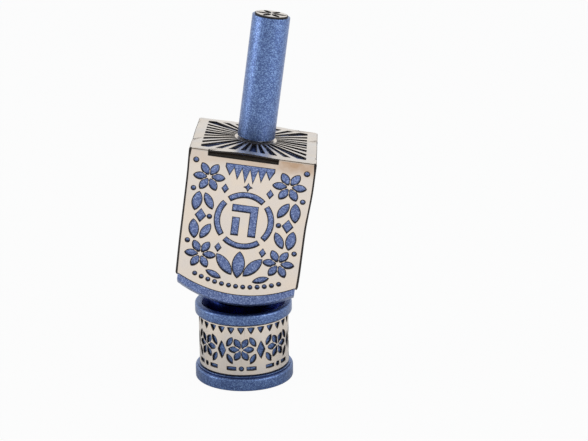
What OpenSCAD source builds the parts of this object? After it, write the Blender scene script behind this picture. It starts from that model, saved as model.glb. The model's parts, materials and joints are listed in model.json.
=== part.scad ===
// Square dreidel under a folded, laser-cut sheet, leaning in the recess of its turned stand.
// Millimetres, +Z up. The origin is the centre of the stand's underside.
// The dreidel's pieces are drawn upright, with the pip's lowest point at the origin, and
// on_stand() tilts them into the place where they rest.

/* [Block] */
// Width of the square block across its flats
block_w = 16.5; // [14:0.1:20]
// Height of a flat side at the block's corners
corner_h = 18.9; // [15:0.1:24]
// Radius of the domed bottom
dome_r = 16.8; // [14:0.1:24]
// Bevel along the block's upright edges
block_break = 0.15; // [0.08:0.01:0.3]
// Bevel round the block's top, under the plate
top_break = 0.35; // [0.15:0.01:0.5]

/* [Foot and pip] */
// Radius of the turned foot that stands in the recess
foot_r = 4; // [3.2:0.1:5]
// Drop from the dome's lowest point to the flat of the foot
foot_drop = 2.3; // [1.8:0.1:3.2]
// Rounding of the foot's rim
foot_round = 0.3; // [0.15:0.05:0.5]
// Hollow rounding where the foot meets the dome
cove_r = 0.5; // [0.3:0.05:0.8]
// Drop of the spinning pip below the flat of the foot
pip_drop = 0.5; // [0.4:0.02:0.65]
// Radius of the pip's round end
pip_r = 0.8; // [0.6:0.05:1]

/* [Stem] */
// Radius of the stem
stem_r = 2.64; // [2.3:0.02:3.2]
// Length of the stem
stem_l = 17.35; // [14:0.05:22]
// Gap between the plate and the stem's foot, where the plate bows up
stem_gap = 0.55; // [0.3:0.05:0.8]
// Bevel at both ends of the stem
stem_break = 0.06; // [0.05:0.01:0.2]
// Radius of the laser-cut disc on the stem's end
disc_r = 2.3; // [1.8:0.05:2.4]

/* [Stud] */
// Radius of the stud that joins the stem and the block
stud_r = 1.5; // [1:0.05:1.7]
// Length of the stud inside the block
stud_in_block = 7; // [4:0.1:9]
// Length of the stud inside the stem
stud_in_stem = 6.5; // [4:0.1:9]
// Bevel at both ends of the stud
stud_break = 0.3; // [0.1:0.05:0.4]
// Room round the stud in its two bores
stud_clear = 0.05; // [0.03:0.01:0.08]
// Spare depth of a bore past the stud's end
bore_spare = 0.4; // [0.2:0.05:1]

/* [Laser-cut sheet] */
// Thickness of the sheet
sheet_t = 0.2; // [0.16:0.01:0.3]
// Adhesive between a sheet and the metal under it
glue_t = 0.03; // [0.02:0.01:0.06]
// Inside radius of the folds along the plate
fold_in = 0.06; // [0.04:0.01:0.1]
// Strip of block left bare under the sheet's corners
bare_strip = 0.94; // [0.5:0.02:1.6]
// Sag of the arc along a side's lower edge
side_sag = 2.14; // [1.4:0.02:2.8]
// Length of the relief slot in a fold
slot_l = 9.4; // [6:0.1:11]
// Height of the relief slot
slot_h = 0.5; // [0.3:0.05:0.8]
// Shift of the relief slot from the middle of its side
slot_shift = 1.1; // [0:0.1:1.8]
// Setback of the plate's cut edge along a relief slot
slot_set = 0.05; // [0.02:0.01:0.1]
// Plain border left round the plate
plate_border = 1.3; // [0.9:0.05:2]
// Room round the stud in the plate's hole
hole_play = 0.4; // [0.2:0.05:0.6]
// Plain ring of the plate that shows round the stem
ring_show = 0.45; // [0.3:0.05:0.9]

/* [Stand] */
// Height of the base flange
base_h = 1.8; // [1.3:0.05:2.6]
// Reach of the base flange past the waist
base_step = 0.85; // [0.75:0.05:1.6]
// Height of the shoulder on the base flange
shoulder_h = 0.25; // [0.15:0.01:0.4]
// Reach of the shoulder past the waist
shoulder_step = 0.5; // [0.4:0.05:0.7]
// Height of the waist between the shoulder and the top flange
waist_h = 7.75; // [6:0.05:10]
// Metal between the recess's floor edge and the waist's face
waist_wall = 1.45; // [1:0.05:2]
// Height of the top flange
flange_h = 1.6; // [1.2:0.05:2.2]
// Width of the lip round the recess
lip_w = 0.9; // [0.75:0.05:1.4]
// Rounding of the flanges' outer edges
flange_round = 0.3; // [0.15:0.05:0.45]
// Rounding of the base's lower edge
base_round = 0.1; // [0.05:0.05:0.3]
// Bevel at the recess's mouth
mouth_break = 0.2; // [0.1:0.05:0.3]
// Sideways play of the foot on the recess's floor
recess_play = 0.8; // [0.5:0.05:1.2]
// Widening of the recess from its floor to its mouth
recess_flare = 1.3; // [1:0.05:1.8]
// Height of the dome's lowest point over the lip, with the dreidel upright
stand_off = 0.1; // [0.05:0.01:0.4]
// Gap from the band's edges to the shoulder and the top flange
band_gap = 0.08; // [0.04:0.01:0.15]
// Gap between the ends of the band, at the back
seam_gap = 0.15; // [0.08:0.01:0.3]
// Width left plain at the seam
seam_plain = 1.3; // [1.2:0.05:1.6]

/* [Rest] */
// Gap kept where the foot and the pip rest against the recess
rest_gap = 0.1; // [0.05:0.01:0.15]

/* [Hidden] */
$fn = 64;
// Overrun of every cut past the face that it starts from
over = 0.5;

// Heights on the dreidel, from the pip's lowest point
foot_z = pip_drop;
dome_z = pip_drop + foot_drop;
corner_r = block_w / sqrt(2);
corner_z = dome_height(corner_r);
block_top = corner_z + corner_h;
plate_under = block_top + glue_t;
plate_top = plate_under + sheet_t;
stem_z = plate_top + stem_gap;
stem_top = stem_z + stem_l;

// Sizes of the folded sheet
side_in = block_w / 2 + glue_t;
side_out = side_in + sheet_t;
fold_out = fold_in + sheet_t;
side_w = 2 * (side_out - fold_out);
side_top = plate_top - fold_out;
side_corner_z = corner_z + bare_strip;
side_arc_r = (side_w * side_w / 4 + side_sag * side_sag) / (2 * side_sag);
slot_bottom = plate_under - slot_h;
hole_r = stud_r + hole_play;
ring_r = stem_r + ring_show;

// Sizes of the stand
recess_floor_r = foot_r + recess_play;
mouth_r = recess_floor_r + recess_flare;
flange_r = mouth_r + lip_w;
waist_r = recess_floor_r + waist_wall;
shoulder_r = waist_r + shoulder_step;
base_r = waist_r + base_step;
waist_z = base_h + shoulder_h;
flange_z = waist_z + waist_h;
stand_h = flange_z + flange_h;
recess_depth = dome_z - stand_off;
recess_z = stand_h - recess_depth;
band_in = waist_r + glue_t;
band_out = band_in + sheet_t;
band_h = waist_h - 2 * band_gap;
band_z = waist_z + waist_h / 2;

// The dreidel leans until the foot's rim meets the floor beside the pip, so its lean is that
// of the line that touches both round edges from below
rim_x = foot_r - foot_round;
rim_z = foot_z + foot_round;
rim_reach = norm([rim_x, rim_z - pip_r]);
lean = atan2(rim_z - pip_r, rim_x) + asin((pip_r - foot_round) / rim_reach);

// Leaning one way pushes the foot the other way, until its rim meets the recess's wall
pip_height = recess_z + rest_gap + pip_r;
rim_rise = rim_x * sin(lean) + (rim_z - pip_r) * cos(lean);
wall_r = recess_floor_r + recess_flare * (pip_height + rim_rise - recess_z) / recess_depth;
pip_x = rim_x * cos(lean) - (rim_z - pip_r) * sin(lean) + foot_round + rest_gap - wall_r;

// Places of the drawings on a side, from the middle of its round frame, and sizes in them,
// all as shares of the drawing's width
side_fit_share = 0.9;
side_mid_share = 0.565;
// Round frame: inner and outer radius, and the angle that each of its four slots takes
frame_shares = [0.21, 0.25];
frame_slot_turn = 77;
mark_share = 0.27;
flower_shares = [[-0.335, 0.35], [0.335, 0.35], [-0.335, -0.345], [0.335, -0.345]];
// Petals of a flower: where they start, length, width
petal_shares = [0.024, 0.105, 0.056];
petal_count = 6;
// Each leaf of a mirrored pair: place across and up, length, width
leaf_shares = [[0.413, 0.125, 0.165, 0.075], [0.413, -0.125, 0.165, 0.075], [0.315, 0.135, 0.15, 0.06],
    [0.315, -0.135, 0.15, 0.06], [0.124, -0.41, 0.22, 0.084], [0.205, -0.512, 0.14, 0.048]];
leaf_turns = [98, -98, 62, -62, 50, 22];
// The middle leaf of the bud: place up, length, width
bud_shares = [-0.4, 0.235, 0.1];
lozenge_shares = [[0.37, 0, 0.115, 0.085], [0.192, 0.265, 0.075, 0.05], [0.192, -0.265, 0.075, 0.05]];
dot_shares = [[0.455, 0.485, 0.018], [0.455, 0.235, 0.016], [0.455, -0.235, 0.016], [0.295, 0, 0.016]];
// Hanging row: its top, depth of its plain strip, pitch, and the depth of its outer and middle tips
row_shares = [0.488, 0.028, 0.068, 0.07, 0.125];
row_count = 6;
// Small star: place up, reach of its tips and of the notches between them
spark_shares = [0.3, 0.036, 0.013];
// Beads along a side's lower arc: height over the arc, radius, pitch
bead_shares = [0.082, 0.0145, 0.062];
bead_pairs = 6;

// Outlines of the four game marks, as shares of a mark's height, from its lower left
nun_shares = [[[0.1, 1], [0.62, 1], [0.62, 0], [0, 0], [0, 0.2], [0.4, 0.2], [0.4, 0.8], [0.1, 0.8]]];
gimel_shares = [[[0.12, 1], [0.58, 1], [0.58, 0.42], [0.7, 0], [0.47, 0], [0.4, 0.26], [0.2, 0], [0, 0],
    [0, 0.14], [0.36, 0.5], [0.36, 0.8], [0.12, 0.8]]];
hei_shares = [[[0, 1], [0.8, 1], [0.8, 0], [0.58, 0], [0.58, 0.79], [0, 0.79]],
    [[0.04, 0.58], [0.25, 0.58], [0.25, 0], [0.04, 0]]];
shin_shares = [[[0, 1], [0.19, 1], [0.19, 0.2], [0.4, 0.2], [0.4, 1], [0.59, 1], [0.59, 0.2], [0.8, 0.2],
    [0.8, 1], [0.99, 1], [0.99, 0.14], [0.85, 0], [0.14, 0], [0, 0.14]]];
mark_outline_shares = [hei_shares, gimel_shares, nun_shares, shin_shares];
mark_width_shares = [0.8, 0.7, 0.62, 0.99];

// Rays of the plate: how much of its pitch each ray in a group takes
ray_width_shares = [0.72, 0.4, 0.52, 0.4];
ray_count = 32;

// Rosette of the disc, as shares of its radius
rosette_shares = [0.16, 0.72, 0.26];

// Drawings round the band, as shares of its height, from its middle
band_repeats = 7;
cut_start_share = 0.85;
band_petal_shares = [0.035, 0.2, 0.105];
band_flower_share = 0.02;
band_lozenge_shares = [0.34, 0.15];
// Each leaf of a group of four: place across and up, length, width
band_leaf_shares = [0.16, 0.17, 0.2, 0.08];
band_leaf_turn = 60;
// Teeth: place up, width, depth, and how many a repeat has
band_tooth_shares = [0.34, 0.12, 0.11];
band_teeth = 4;
// Dashes: place up, length, height, and their place across as a share of a repeat
band_dash_shares = [-0.36, 0.17, 0.055, 0.25];
// Dots: place up, radius
band_dot_shares = [-0.36, 0.035];

// Blue anodised metal, silver sheet and plain steel
blue = [0.36, 0.47, 0.69];
silver = [0.83, 0.79, 0.74];
steel = [0.6, 0.6, 0.62];

// Height of the dome's surface at a distance from the dreidel's axis
function dome_height(r) = dome_z + dome_r - sqrt(dome_r * dome_r - r * r);

// Points of a star with n tips
function tips(n, far, near) = [for (i = [0:2 * n - 1]) let (r = i % 2 == 0 ? far : near)
    [r * cos(180 * i / n), r * sin(180 * i / n)]];

// Depth of the hanging row at each half pitch: zero between two tips, and most at the middle tip
function tip_depth(i) = i % 2 == 0 ? 0 : row_shares[3] + (row_shares[4] - row_shares[3])
    * sin(180 * (i - 1) / (2 * row_count - 2));

// Takes the dreidel from its own upright frame to its leaning rest in the stand
module on_stand() {
    translate([pip_x, 0, pip_height]) rotate([0, lean, 0]) translate([0, 0, -pip_r]) children();
}

// Waste outside a rounded corner whose edges run from the origin towards +X and +Y
module corner_waste(r) {
    difference() {
        translate([-over, -over]) square(r + over);
        translate([r, r]) circle(r);
    }
}

// Leaf between two arcs, along X
module leaf(l, w) {
    r = (l * l + w * w) / (4 * w);
    intersection() {
        translate([0, r - w / 2]) circle(r);
        translate([0, w / 2 - r]) circle(r);
    }
}

// Lozenge, its length along Y
module lozenge(l, w) {
    polygon([[w / 2, 0], [0, l / 2], [-w / 2, 0], [0, -l / 2]]);
}

// Ring of petals, each starting at r0
module petals(n, r0, l, w) {
    for (i = [0:n - 1]) rotate(360 * i / n) translate([r0 + l / 2, 0]) leaf(l, w);
}

// Both of a pair that mirrors across the drawing's middle line
module pair() {
    children();
    mirror([1, 0]) children();
}

// Four curved slots that frame the mark
module round_frame(s) {
    reach = s * tan(frame_slot_turn / 2);
    intersection() {
        difference() {
            circle(frame_shares[1] * s);
            circle(frame_shares[0] * s);
        }
        for (i = [0:3]) rotate(90 * i) polygon([[0, 0], [s, -reach], [s, reach]]);
    }
}

// One game mark, centred
module game_mark(i, s) {
    h = mark_share * s;
    translate([-mark_width_shares[i] * h / 2, -h / 2])
        for (outline = mark_outline_shares[i]) polygon([for (p = outline) p * h]);
}

// Openings cut in a side: a round frame with its mark, flowers, leaves, a bud and small shapes
module side_drawing(i, s) {
    round_frame(s);
    game_mark(i, s);
    for (p = flower_shares) translate(p * s)
        petals(petal_count, petal_shares[0] * s, petal_shares[1] * s, petal_shares[2] * s);
    pair() for (j = [0:len(leaf_shares) - 1]) let (p = leaf_shares[j])
        translate([p[0] * s, p[1] * s]) rotate(leaf_turns[j]) leaf(p[2] * s, p[3] * s);
    pair() for (p = lozenge_shares) translate([p[0] * s, p[1] * s]) lozenge(p[2] * s, p[3] * s);
    pair() for (p = dot_shares) translate([p[0] * s, p[1] * s]) circle(p[2] * s);
    translate([0, bud_shares[0] * s]) rotate(90) leaf(bud_shares[1] * s, bud_shares[2] * s);
    translate([0, spark_shares[0] * s]) polygon(tips(4, spark_shares[1] * s, spark_shares[2] * s));
    hanging_row(s);
}

// Strip with a row of hanging tips that reach lowest in the middle
module hanging_row(s) {
    half = row_count * row_shares[2] * s / 2;
    top = row_shares[0] * s;
    foot = top - row_shares[1] * s;
    polygon(concat([[half, foot], [half, top], [-half, top], [-half, foot]],
        [for (i = [1:2 * row_count - 1]) [i * row_shares[2] * s / 2 - half, foot - tip_depth(i) * s]]));
}

// Outline of one side: straight edges, and an arc along the bottom
module side_outline() {
    translate([-side_w / 2, side_corner_z]) square([side_w, side_top - side_corner_z]);
    intersection() {
        translate([0, side_corner_z - side_sag + side_arc_r]) circle(side_arc_r);
        translate([-side_w / 2, side_corner_z - side_sag]) square([side_w, side_sag]);
    }
}

// One side of the sheet with its openings and its half of the fold's relief slot
module side_shape(i) {
    side_h = side_top - side_corner_z;
    s = min(side_w, side_h * side_fit_share);
    difference() {
        side_outline();
        translate([-slot_l / 2 - slot_shift, slot_bottom]) square([slot_l, plate_top]);
        translate([0, side_top - side_mid_share * s]) side_drawing(i, s);
        beads(s);
    }
}

// Row of beads that follows the arc of a side's lower edge
module beads(s) {
    r = side_arc_r - bead_shares[0] * s;
    for (i = [-bead_pairs:bead_pairs]) translate([0, side_corner_z - side_sag + side_arc_r])
        rotate(i * bead_shares[2] * s / r * 180 / PI) translate([0, -r]) circle(bead_shares[1] * s);
}

// Quarter-round fold along a stretch of a side's top edge, from x0 to x1
module fold(x0, x1) {
    translate([x0, fold_out - side_out, plate_top - fold_out]) rotate([90, 0, 90])
        linear_extrude(x1 - x0) intersection() {
            difference() {
                circle(fold_out);
                circle(fold_in);
            }
            translate([-fold_out, 0]) square(fold_out);
        }
}

// Ray openings of the plate: wedges between the ring round the stem and the plain border
module rays() {
    inner_w = side_w - 2 * plate_border;
    intersection() {
        square(inner_w, center = true);
        difference() {
            for (i = [0:ray_count - 1]) rotate(360 * i / ray_count)
                let (half = inner_w * tan(180 / ray_count * ray_width_shares[i % len(ray_width_shares)]))
                    polygon([[0, 0], [inner_w, -half], [inner_w, half]]);
            circle(ring_r);
        }
    }
}

// Flat plate on top, with its rays and the hole for the stud
module plate_shape() {
    difference() {
        square(side_w, center = true);
        circle(hole_r);
        rays();
    }
}

module overlay() {
    color(silver) on_stand() {
        translate([0, 0, plate_under]) linear_extrude(sheet_t) plate_shape();
        for (i = [0:3]) rotate(90 * i) {
            translate([0, -side_in, 0]) rotate([90, 0, 0]) linear_extrude(sheet_t) side_shape(i);
            fold(-side_w / 2, -slot_l / 2 - slot_shift);
            fold(slot_l / 2 - slot_shift, side_w / 2);
            translate([-slot_l / 2 - slot_shift, slot_set - side_out, plate_under])
                cube([slot_l, fold_out - slot_set, sheet_t]);
        }
    }
}

// Section of a square bar with bevelled corners
module bar_section(w, b) {
    polygon([for (q = [0:3]) for (e = [-1, 1]) let (x = w / 2, y = e * (w / 2 - b), a = 90 * q)
        [x * cos(a) - y * sin(a), x * sin(a) + y * cos(a)]]);
}

// Square bar whose top edges are bevelled
module square_bar() {
    intersection() {
        translate([0, 0, -over]) linear_extrude(block_top + over) bar_section(block_w, block_break);
        rotate([90, 0, 0]) linear_extrude(2 * block_w, center = true) bar_profile();
        rotate([90, 0, 90]) linear_extrude(2 * block_w, center = true) bar_profile();
    }
}

// Side view of the bar, from below the pip to the bevelled top
module bar_profile() {
    rim = block_w / 2;
    polygon([[-rim, -over], [rim, -over], [rim, block_top - top_break], [rim - top_break, block_top],
        [top_break - rim, block_top], [-rim, block_top - top_break]]);
}

// Half a section of what the lathe leaves: the dome and all above it
module dome_section() {
    intersection() {
        translate([0, dome_z + dome_r]) circle(dome_r);
        translate([0, dome_z]) square(dome_r);
    }
    translate([0, dome_z + dome_r]) square([dome_r, block_top]);
}

// Half a section of the foot and its pip; the cove touches both the foot's side and the dome
module foot_section() {
    cove_x = foot_r + cove_r;
    cove_z = dome_z + dome_r - sqrt(pow(dome_r + cove_r, 2) - cove_x * cove_x);
    touch = [cove_x * dome_r / (dome_r + cove_r), dome_height(cove_x * dome_r / (dome_r + cove_r))];
    difference() {
        translate([0, foot_z]) square([foot_r, dome_height(foot_r) + over - foot_z]);
        translate([foot_r, foot_z]) mirror([1, 0]) corner_waste(foot_round);
    }
    difference() {
        polygon([[foot_r - over, cove_z], [cove_x, cove_z], touch, touch + [0, over],
            [foot_r - over, touch[1]]]);
        translate([cove_x, cove_z]) circle(cove_r);
    }
    intersection() {
        translate([0, pip_r]) circle(pip_r);
        square([pip_r, pip_r]);
    }
    translate([0, pip_r]) square([pip_r, max(foot_z - pip_r, 0) + over]);
}

module block() {
    color(blue) on_stand() difference() {
        intersection() {
            square_bar();
            rotate_extrude() {
                dome_section();
                foot_section();
            }
        }
        translate([0, 0, block_top - stud_in_block - bore_spare])
            cylinder(h = stud_in_block + bore_spare + over, r = stud_r + stud_clear);
    }
}

// Round bar with both ends bevelled, from z0 to z1
module round_bar(r, z0, z1, b) {
    rotate_extrude() polygon([[0, z0], [r - b, z0], [r, z0 + b], [r, z1 - b], [r - b, z1], [0, z1]]);
}

module stem() {
    color(blue) on_stand() difference() {
        round_bar(stem_r, stem_z, stem_top, stem_break);
        translate([0, 0, stem_z - over])
            cylinder(h = stud_in_stem + bore_spare + over, r = stud_r + stud_clear);
    }
}

module stud() {
    color(steel) on_stand()
        round_bar(stud_r, block_top - stud_in_block, stem_z + stud_in_stem, stud_break);
}

module stem_disc() {
    color(silver) on_stand() translate([0, 0, stem_top + glue_t]) linear_extrude(sheet_t) difference() {
        circle(disc_r);
        petals(petal_count, rosette_shares[0] * disc_r, rosette_shares[1] * disc_r,
            rosette_shares[2] * disc_r);
    }
}

// Half a section of the spool, without its recess
module spool_section() {
    difference() {
        square([base_r, base_h]);
        translate([base_r, 0]) mirror([1, 0]) corner_waste(base_round);
        translate([base_r, base_h]) rotate(180) corner_waste(flange_round);
    }
    translate([0, base_h - over]) square([shoulder_r, shoulder_h + over]);
    square([waist_r, stand_h - flange_h / 2]);
    difference() {
        translate([0, flange_z]) square([flange_r, flange_h]);
        translate([flange_r, flange_z]) mirror([1, 0]) corner_waste(flange_round);
        translate([flange_r, stand_h]) rotate(180) corner_waste(flange_round);
    }
}

// Half a section of the recess: its sloping wall ends in a bevel that opens at 45 degrees
module recess_section() {
    bevel_r = mouth_r - recess_flare * mouth_break / recess_depth;
    polygon([[0, recess_z], [recess_floor_r, recess_z], [bevel_r, stand_h - mouth_break],
        [bevel_r + mouth_break + over, stand_h + over], [0, stand_h + over]]);
}

module stand_body() {
    color(blue) rotate_extrude() difference() {
        spool_section();
        recess_section();
    }
}

// Flower, with petals on a ring
module band_flower(s) {
    petals(petal_count, band_petal_shares[0] * s, band_petal_shares[1] * s, band_petal_shares[2] * s);
}

// Lozenge between two pairs of leaves
module band_leaves(s) {
    lozenge(band_lozenge_shares[0] * s, band_lozenge_shares[1] * s);
    for (e = [-1, 1]) pair() translate([band_leaf_shares[0] * s, e * band_leaf_shares[1] * s])
        rotate(e * band_leaf_turn) leaf(band_leaf_shares[2] * s, band_leaf_shares[3] * s);
}

// Pushes a flat drawing out through the band, at an angle round it
module through_band(a) {
    start = band_in * cut_start_share;
    rotate([90, 0, a]) translate([0, 0, start]) linear_extrude(band_out + over - start) children();
}

// All openings cut in the band
module band_drawing(s) {
    step = 360 / band_repeats;
    for (i = [0:band_repeats - 1]) {
        through_band(step * i) {
            translate([0, band_flower_share * s]) band_flower(s);
            translate([0, band_dot_shares[0] * s]) circle(band_dot_shares[1] * s);
        }
        through_band(step * (i + 1 / 2)) band_leaves(s);
        for (e = [-1, 1]) through_band(step * (i + e * band_dash_shares[3]))
            translate([0, band_dash_shares[0] * s])
                square([band_dash_shares[1] * s, band_dash_shares[2] * s], center = true);
        for (j = [0:band_teeth - 1]) through_band(step * (i + j / band_teeth)) band_tooth(s);
    }
}

// Hanging triangle under the band's top edge
module band_tooth(s) {
    half = band_tooth_shares[1] * s / 2;
    translate([0, band_tooth_shares[0] * s])
        polygon([[-half, band_tooth_shares[2] * s], [half, band_tooth_shares[2] * s], [0, 0]]);
}

// Upright slab at the band's seam, of a given width
module seam_slab(w) {
    translate([-w / 2, 0, -band_h]) cube([w, band_out + 2 * over, 2 * band_h]);
}

module stand_band() {
    color(silver) translate([0, 0, band_z]) difference() {
        cylinder(h = band_h, r = band_out, center = true);
        cylinder(h = band_h + over, r = band_in, center = true);
        difference() {
            band_drawing(band_h);
            seam_slab(seam_plain);
        }
        seam_slab(seam_gap);
    }
}

block();
overlay();
stem();
stud();
stem_disc();
stand_body();
stand_band();
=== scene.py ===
"""Dresses a square metal dreidel and its round stand: blue anodised metal under laser-cut silver sheet."""

import json
import logging
import math
from abc import ABC, abstractmethod
from dataclasses import dataclass, field
from enum import Enum, IntEnum

import bmesh
import bpy
from mathutils import Matrix, Vector, noise


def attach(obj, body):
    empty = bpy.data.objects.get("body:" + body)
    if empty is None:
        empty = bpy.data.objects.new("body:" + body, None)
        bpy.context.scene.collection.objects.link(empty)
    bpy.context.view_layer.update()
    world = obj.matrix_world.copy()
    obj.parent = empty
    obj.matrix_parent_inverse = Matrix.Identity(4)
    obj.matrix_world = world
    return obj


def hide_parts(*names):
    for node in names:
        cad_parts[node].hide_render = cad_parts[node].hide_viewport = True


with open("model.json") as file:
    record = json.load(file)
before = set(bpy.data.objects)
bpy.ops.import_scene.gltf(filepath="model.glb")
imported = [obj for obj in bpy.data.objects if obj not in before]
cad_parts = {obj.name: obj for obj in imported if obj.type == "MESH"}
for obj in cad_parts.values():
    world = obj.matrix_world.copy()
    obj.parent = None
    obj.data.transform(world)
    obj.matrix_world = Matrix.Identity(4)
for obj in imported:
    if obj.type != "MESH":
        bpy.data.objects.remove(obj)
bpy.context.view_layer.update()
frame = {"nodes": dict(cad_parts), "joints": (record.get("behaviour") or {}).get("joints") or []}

log = logging.getLogger("dreidel")

MM = 0.001
# Vertices of a CAD node closer than this are one vertex
MERGE_DISTANCE = 0.0001 * MM
# Radius of the pip's round end, whose middle the dreidel turns about
PIP_RADIUS = 0.8 * MM
# A face whose normal has at least this share along a direction lies square to it
SQUARE = 0.99
# Most values of a noise texture lie between these
NOISE_LOW = 0.3
NOISE_HIGH = 0.7
# A wave texture of scale 1 has this many waves over a length of tau
WAVES_PER_TURN = 20


class Body(Enum):
    """The moving bodies of the part."""

    STAND = "stand"
    LIFT = "lift"
    DREIDEL = "dreidel"


class Slot(Enum):
    """The material slots of the part."""

    BLUE = "blue_anodised"
    SILVER = "silver_sheet"
    STEEL = "plain_steel"


def linear(hex_colour: str) -> tuple[float, float, float, float]:
    """Turns an sRGB colour into the linear colour that the shader's sockets hold.

    Args:
        hex_colour: six hexadecimal digits after a hash sign.

    Returns:
        Red, green, blue and an alpha of 1.
    """
    parts = [int(hex_colour[i:i + 2], 16) / 255 for i in (1, 3, 5)]
    red, green, blue = (p / 12.92 if p <= 0.04045 else ((p + 0.055) / 1.055) ** 2.4 for p in parts)
    return red, green, blue, 1.0


def add_node(tree: bpy.types.NodeTree, kind: str, settings: dict[str, object] | None = None,
             **links: object) -> bpy.types.Node:
    """Adds a node to a tree.

    Args:
        tree: the tree of a material, a world or a modifier.
        kind: the node's type name.
        settings: the node's own properties and their values.
        links: an input's name, with underscores for spaces, or its number after the letter i, and
            the socket or the constant that it takes.

    Returns:
        The new node.
    """
    node = tree.nodes.new(kind)
    for name, value in (settings or {}).items():
        setattr(node, name, value)
    for name, value in links.items():
        socket = node.inputs[int(name[1:])] if name[1:].isdigit() else node.inputs[name.replace("_", " ")]
        if isinstance(value, bpy.types.NodeSocket):
            tree.links.new(value, socket)
        else:
            socket.default_value = value
    return node


def new_material(name: str) -> tuple[bpy.types.Material, bpy.types.NodeTree, bpy.types.Node,
                                     bpy.types.NodeSocket]:
    """Makes a material that holds only a Principled shader, its output and the object's coordinates.

    Args:
        name: the material's name.

    Returns:
        The material, its node tree, the shader and the socket of the coordinates.
    """
    material = bpy.data.materials.new(name)
    material.use_nodes = True
    tree = material.node_tree
    tree.nodes.clear()
    shader = add_node(tree, "ShaderNodeBsdfPrincipled")
    add_node(tree, "ShaderNodeOutputMaterial", Surface=shader.outputs["BSDF"])
    return material, tree, shader, add_node(tree, "ShaderNodeTexCoord").outputs["Object"]


@dataclass(frozen=True)
class AnodisedAluminium:
    """Turned aluminium, bead-blasted and dyed blue: a satin metal whose blasted grains sparkle.

    The clear oxide over the dye gives the limbs of the round pieces their pale grey.
    """

    name: str = "anodised_aluminium_blasted"
    grain_dark: str = "#3C5486"
    grain_mid: str = "#536CA2"
    grain_light: str = "#82A0CF"
    # Brightness as a share of these colours; the stand's lower share is painted shade
    depth: float = 1.0
    # Width of one blasted dimple, drawn as coarse as it needs to show, and how softly it ends
    grain_width: float = 0.12 * MM
    grain_blend: float = 0.35
    # Shares of the grains that are darker than the middle colour, and than the light one
    mid_share: float = 0.5
    light_share: float = 0.97
    # Width of the faint clouds that the dye leaves, and their brightness at its least and its most
    cloud_width: float = 1.8 * MM
    cloud_dim: float = 0.93
    cloud_bright: float = 1.06
    # Roughness of the metal, and how far a single grain strays from it
    roughness: float = 0.42
    roughness_spread: float = 0.1
    relief: float = 0.01 * MM
    # The clear oxide over the dye
    oxide: float = 0.5
    oxide_roughness: float = 0.35
    oxide_ior: float = 1.6

    def make(self) -> bpy.types.Material:
        """Builds the material.

        Returns:
            The finished material.
        """
        material, tree, shader, where = new_material(self.name)
        grain = add_node(tree, "ShaderNodeTexVoronoi", {"feature": "SMOOTH_F1"}, Vector=where,
                         Scale=1 / self.grain_width, Smoothness=self.grain_blend)
        tone = add_node(tree, "ShaderNodeSeparateColor", Color=grain.outputs["Color"])
        ramp = add_node(tree, "ShaderNodeValToRGB", Fac=tone.outputs["Red"])
        ramp.color_ramp.elements[0].color = linear(self.grain_dark)
        ramp.color_ramp.elements[1].color = linear(self.grain_light)
        ramp.color_ramp.elements[1].position = self.light_share
        ramp.color_ramp.elements.new(self.mid_share).color = linear(self.grain_mid)
        cloud = add_node(tree, "ShaderNodeTexNoise", Vector=where, Scale=1 / self.cloud_width, Detail=2.0)
        shade = add_node(tree, "ShaderNodeMapRange", Value=cloud.outputs["Fac"], From_Min=NOISE_LOW,
                         From_Max=NOISE_HIGH, To_Min=self.cloud_dim * self.depth,
                         To_Max=self.cloud_bright * self.depth)
        colour = add_node(tree, "ShaderNodeVectorMath", {"operation": "SCALE"}, i0=ramp.outputs["Color"],
                          Scale=shade.outputs["Result"])
        tree.links.new(colour.outputs["Vector"], shader.inputs["Base Color"])
        gloss = add_node(tree, "ShaderNodeMapRange", Value=tone.outputs["Green"],
                         To_Min=self.roughness - self.roughness_spread,
                         To_Max=self.roughness + self.roughness_spread)
        tree.links.new(gloss.outputs["Result"], shader.inputs["Roughness"])
        dimple = add_node(tree, "ShaderNodeBump", Height=tone.outputs["Blue"], Distance=self.relief,
                          Strength=1.0)
        tree.links.new(dimple.outputs["Normal"], shader.inputs["Normal"])
        shader.inputs["Metallic"].default_value = 1.0
        shader.inputs["Coat Weight"].default_value = self.oxide
        shader.inputs["Coat Roughness"].default_value = self.oxide_roughness
        shader.inputs["Coat IOR"].default_value = self.oxide_ior
        return material


@dataclass(frozen=True)
class ShadedTurnedAluminium:
    """Dyed aluminium as it leaves the lathe, not blasted: glossy, with fine turning rings, and dark as
    painted shade for the recess and the foot inside it.
    """

    name: str = "anodised_aluminium_turned_painted_shade"
    valley: str = "#1D2A5E"
    crest: str = "#304489"
    # Pitch of the turning rings, drawn coarse enough to show, and how unsteady they are
    pitch: float = 0.12 * MM
    chatter: float = 0.4
    roughness: float = 0.22
    relief: float = 0.002 * MM

    def make(self) -> bpy.types.Material:
        """Builds the material.

        Returns:
            The finished material.
        """
        material, tree, shader, where = new_material(self.name)
        rings = add_node(tree, "ShaderNodeTexWave", {"wave_type": "RINGS", "rings_direction": "Z"},
                         Vector=where, Scale=math.tau / (WAVES_PER_TURN * self.pitch),
                         Distortion=self.chatter, Detail=2.0)
        ramp = add_node(tree, "ShaderNodeValToRGB", Fac=rings.outputs["Fac"])
        ramp.color_ramp.elements[0].color = linear(self.valley)
        ramp.color_ramp.elements[1].color = linear(self.crest)
        tree.links.new(ramp.outputs["Color"], shader.inputs["Base Color"])
        groove = add_node(tree, "ShaderNodeBump", Height=rings.outputs["Fac"], Distance=self.relief,
                          Strength=1.0)
        tree.links.new(groove.outputs["Normal"], shader.inputs["Normal"])
        shader.inputs["Metallic"].default_value = 1.0
        shader.inputs["Roughness"].default_value = self.roughness
        return material


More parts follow.
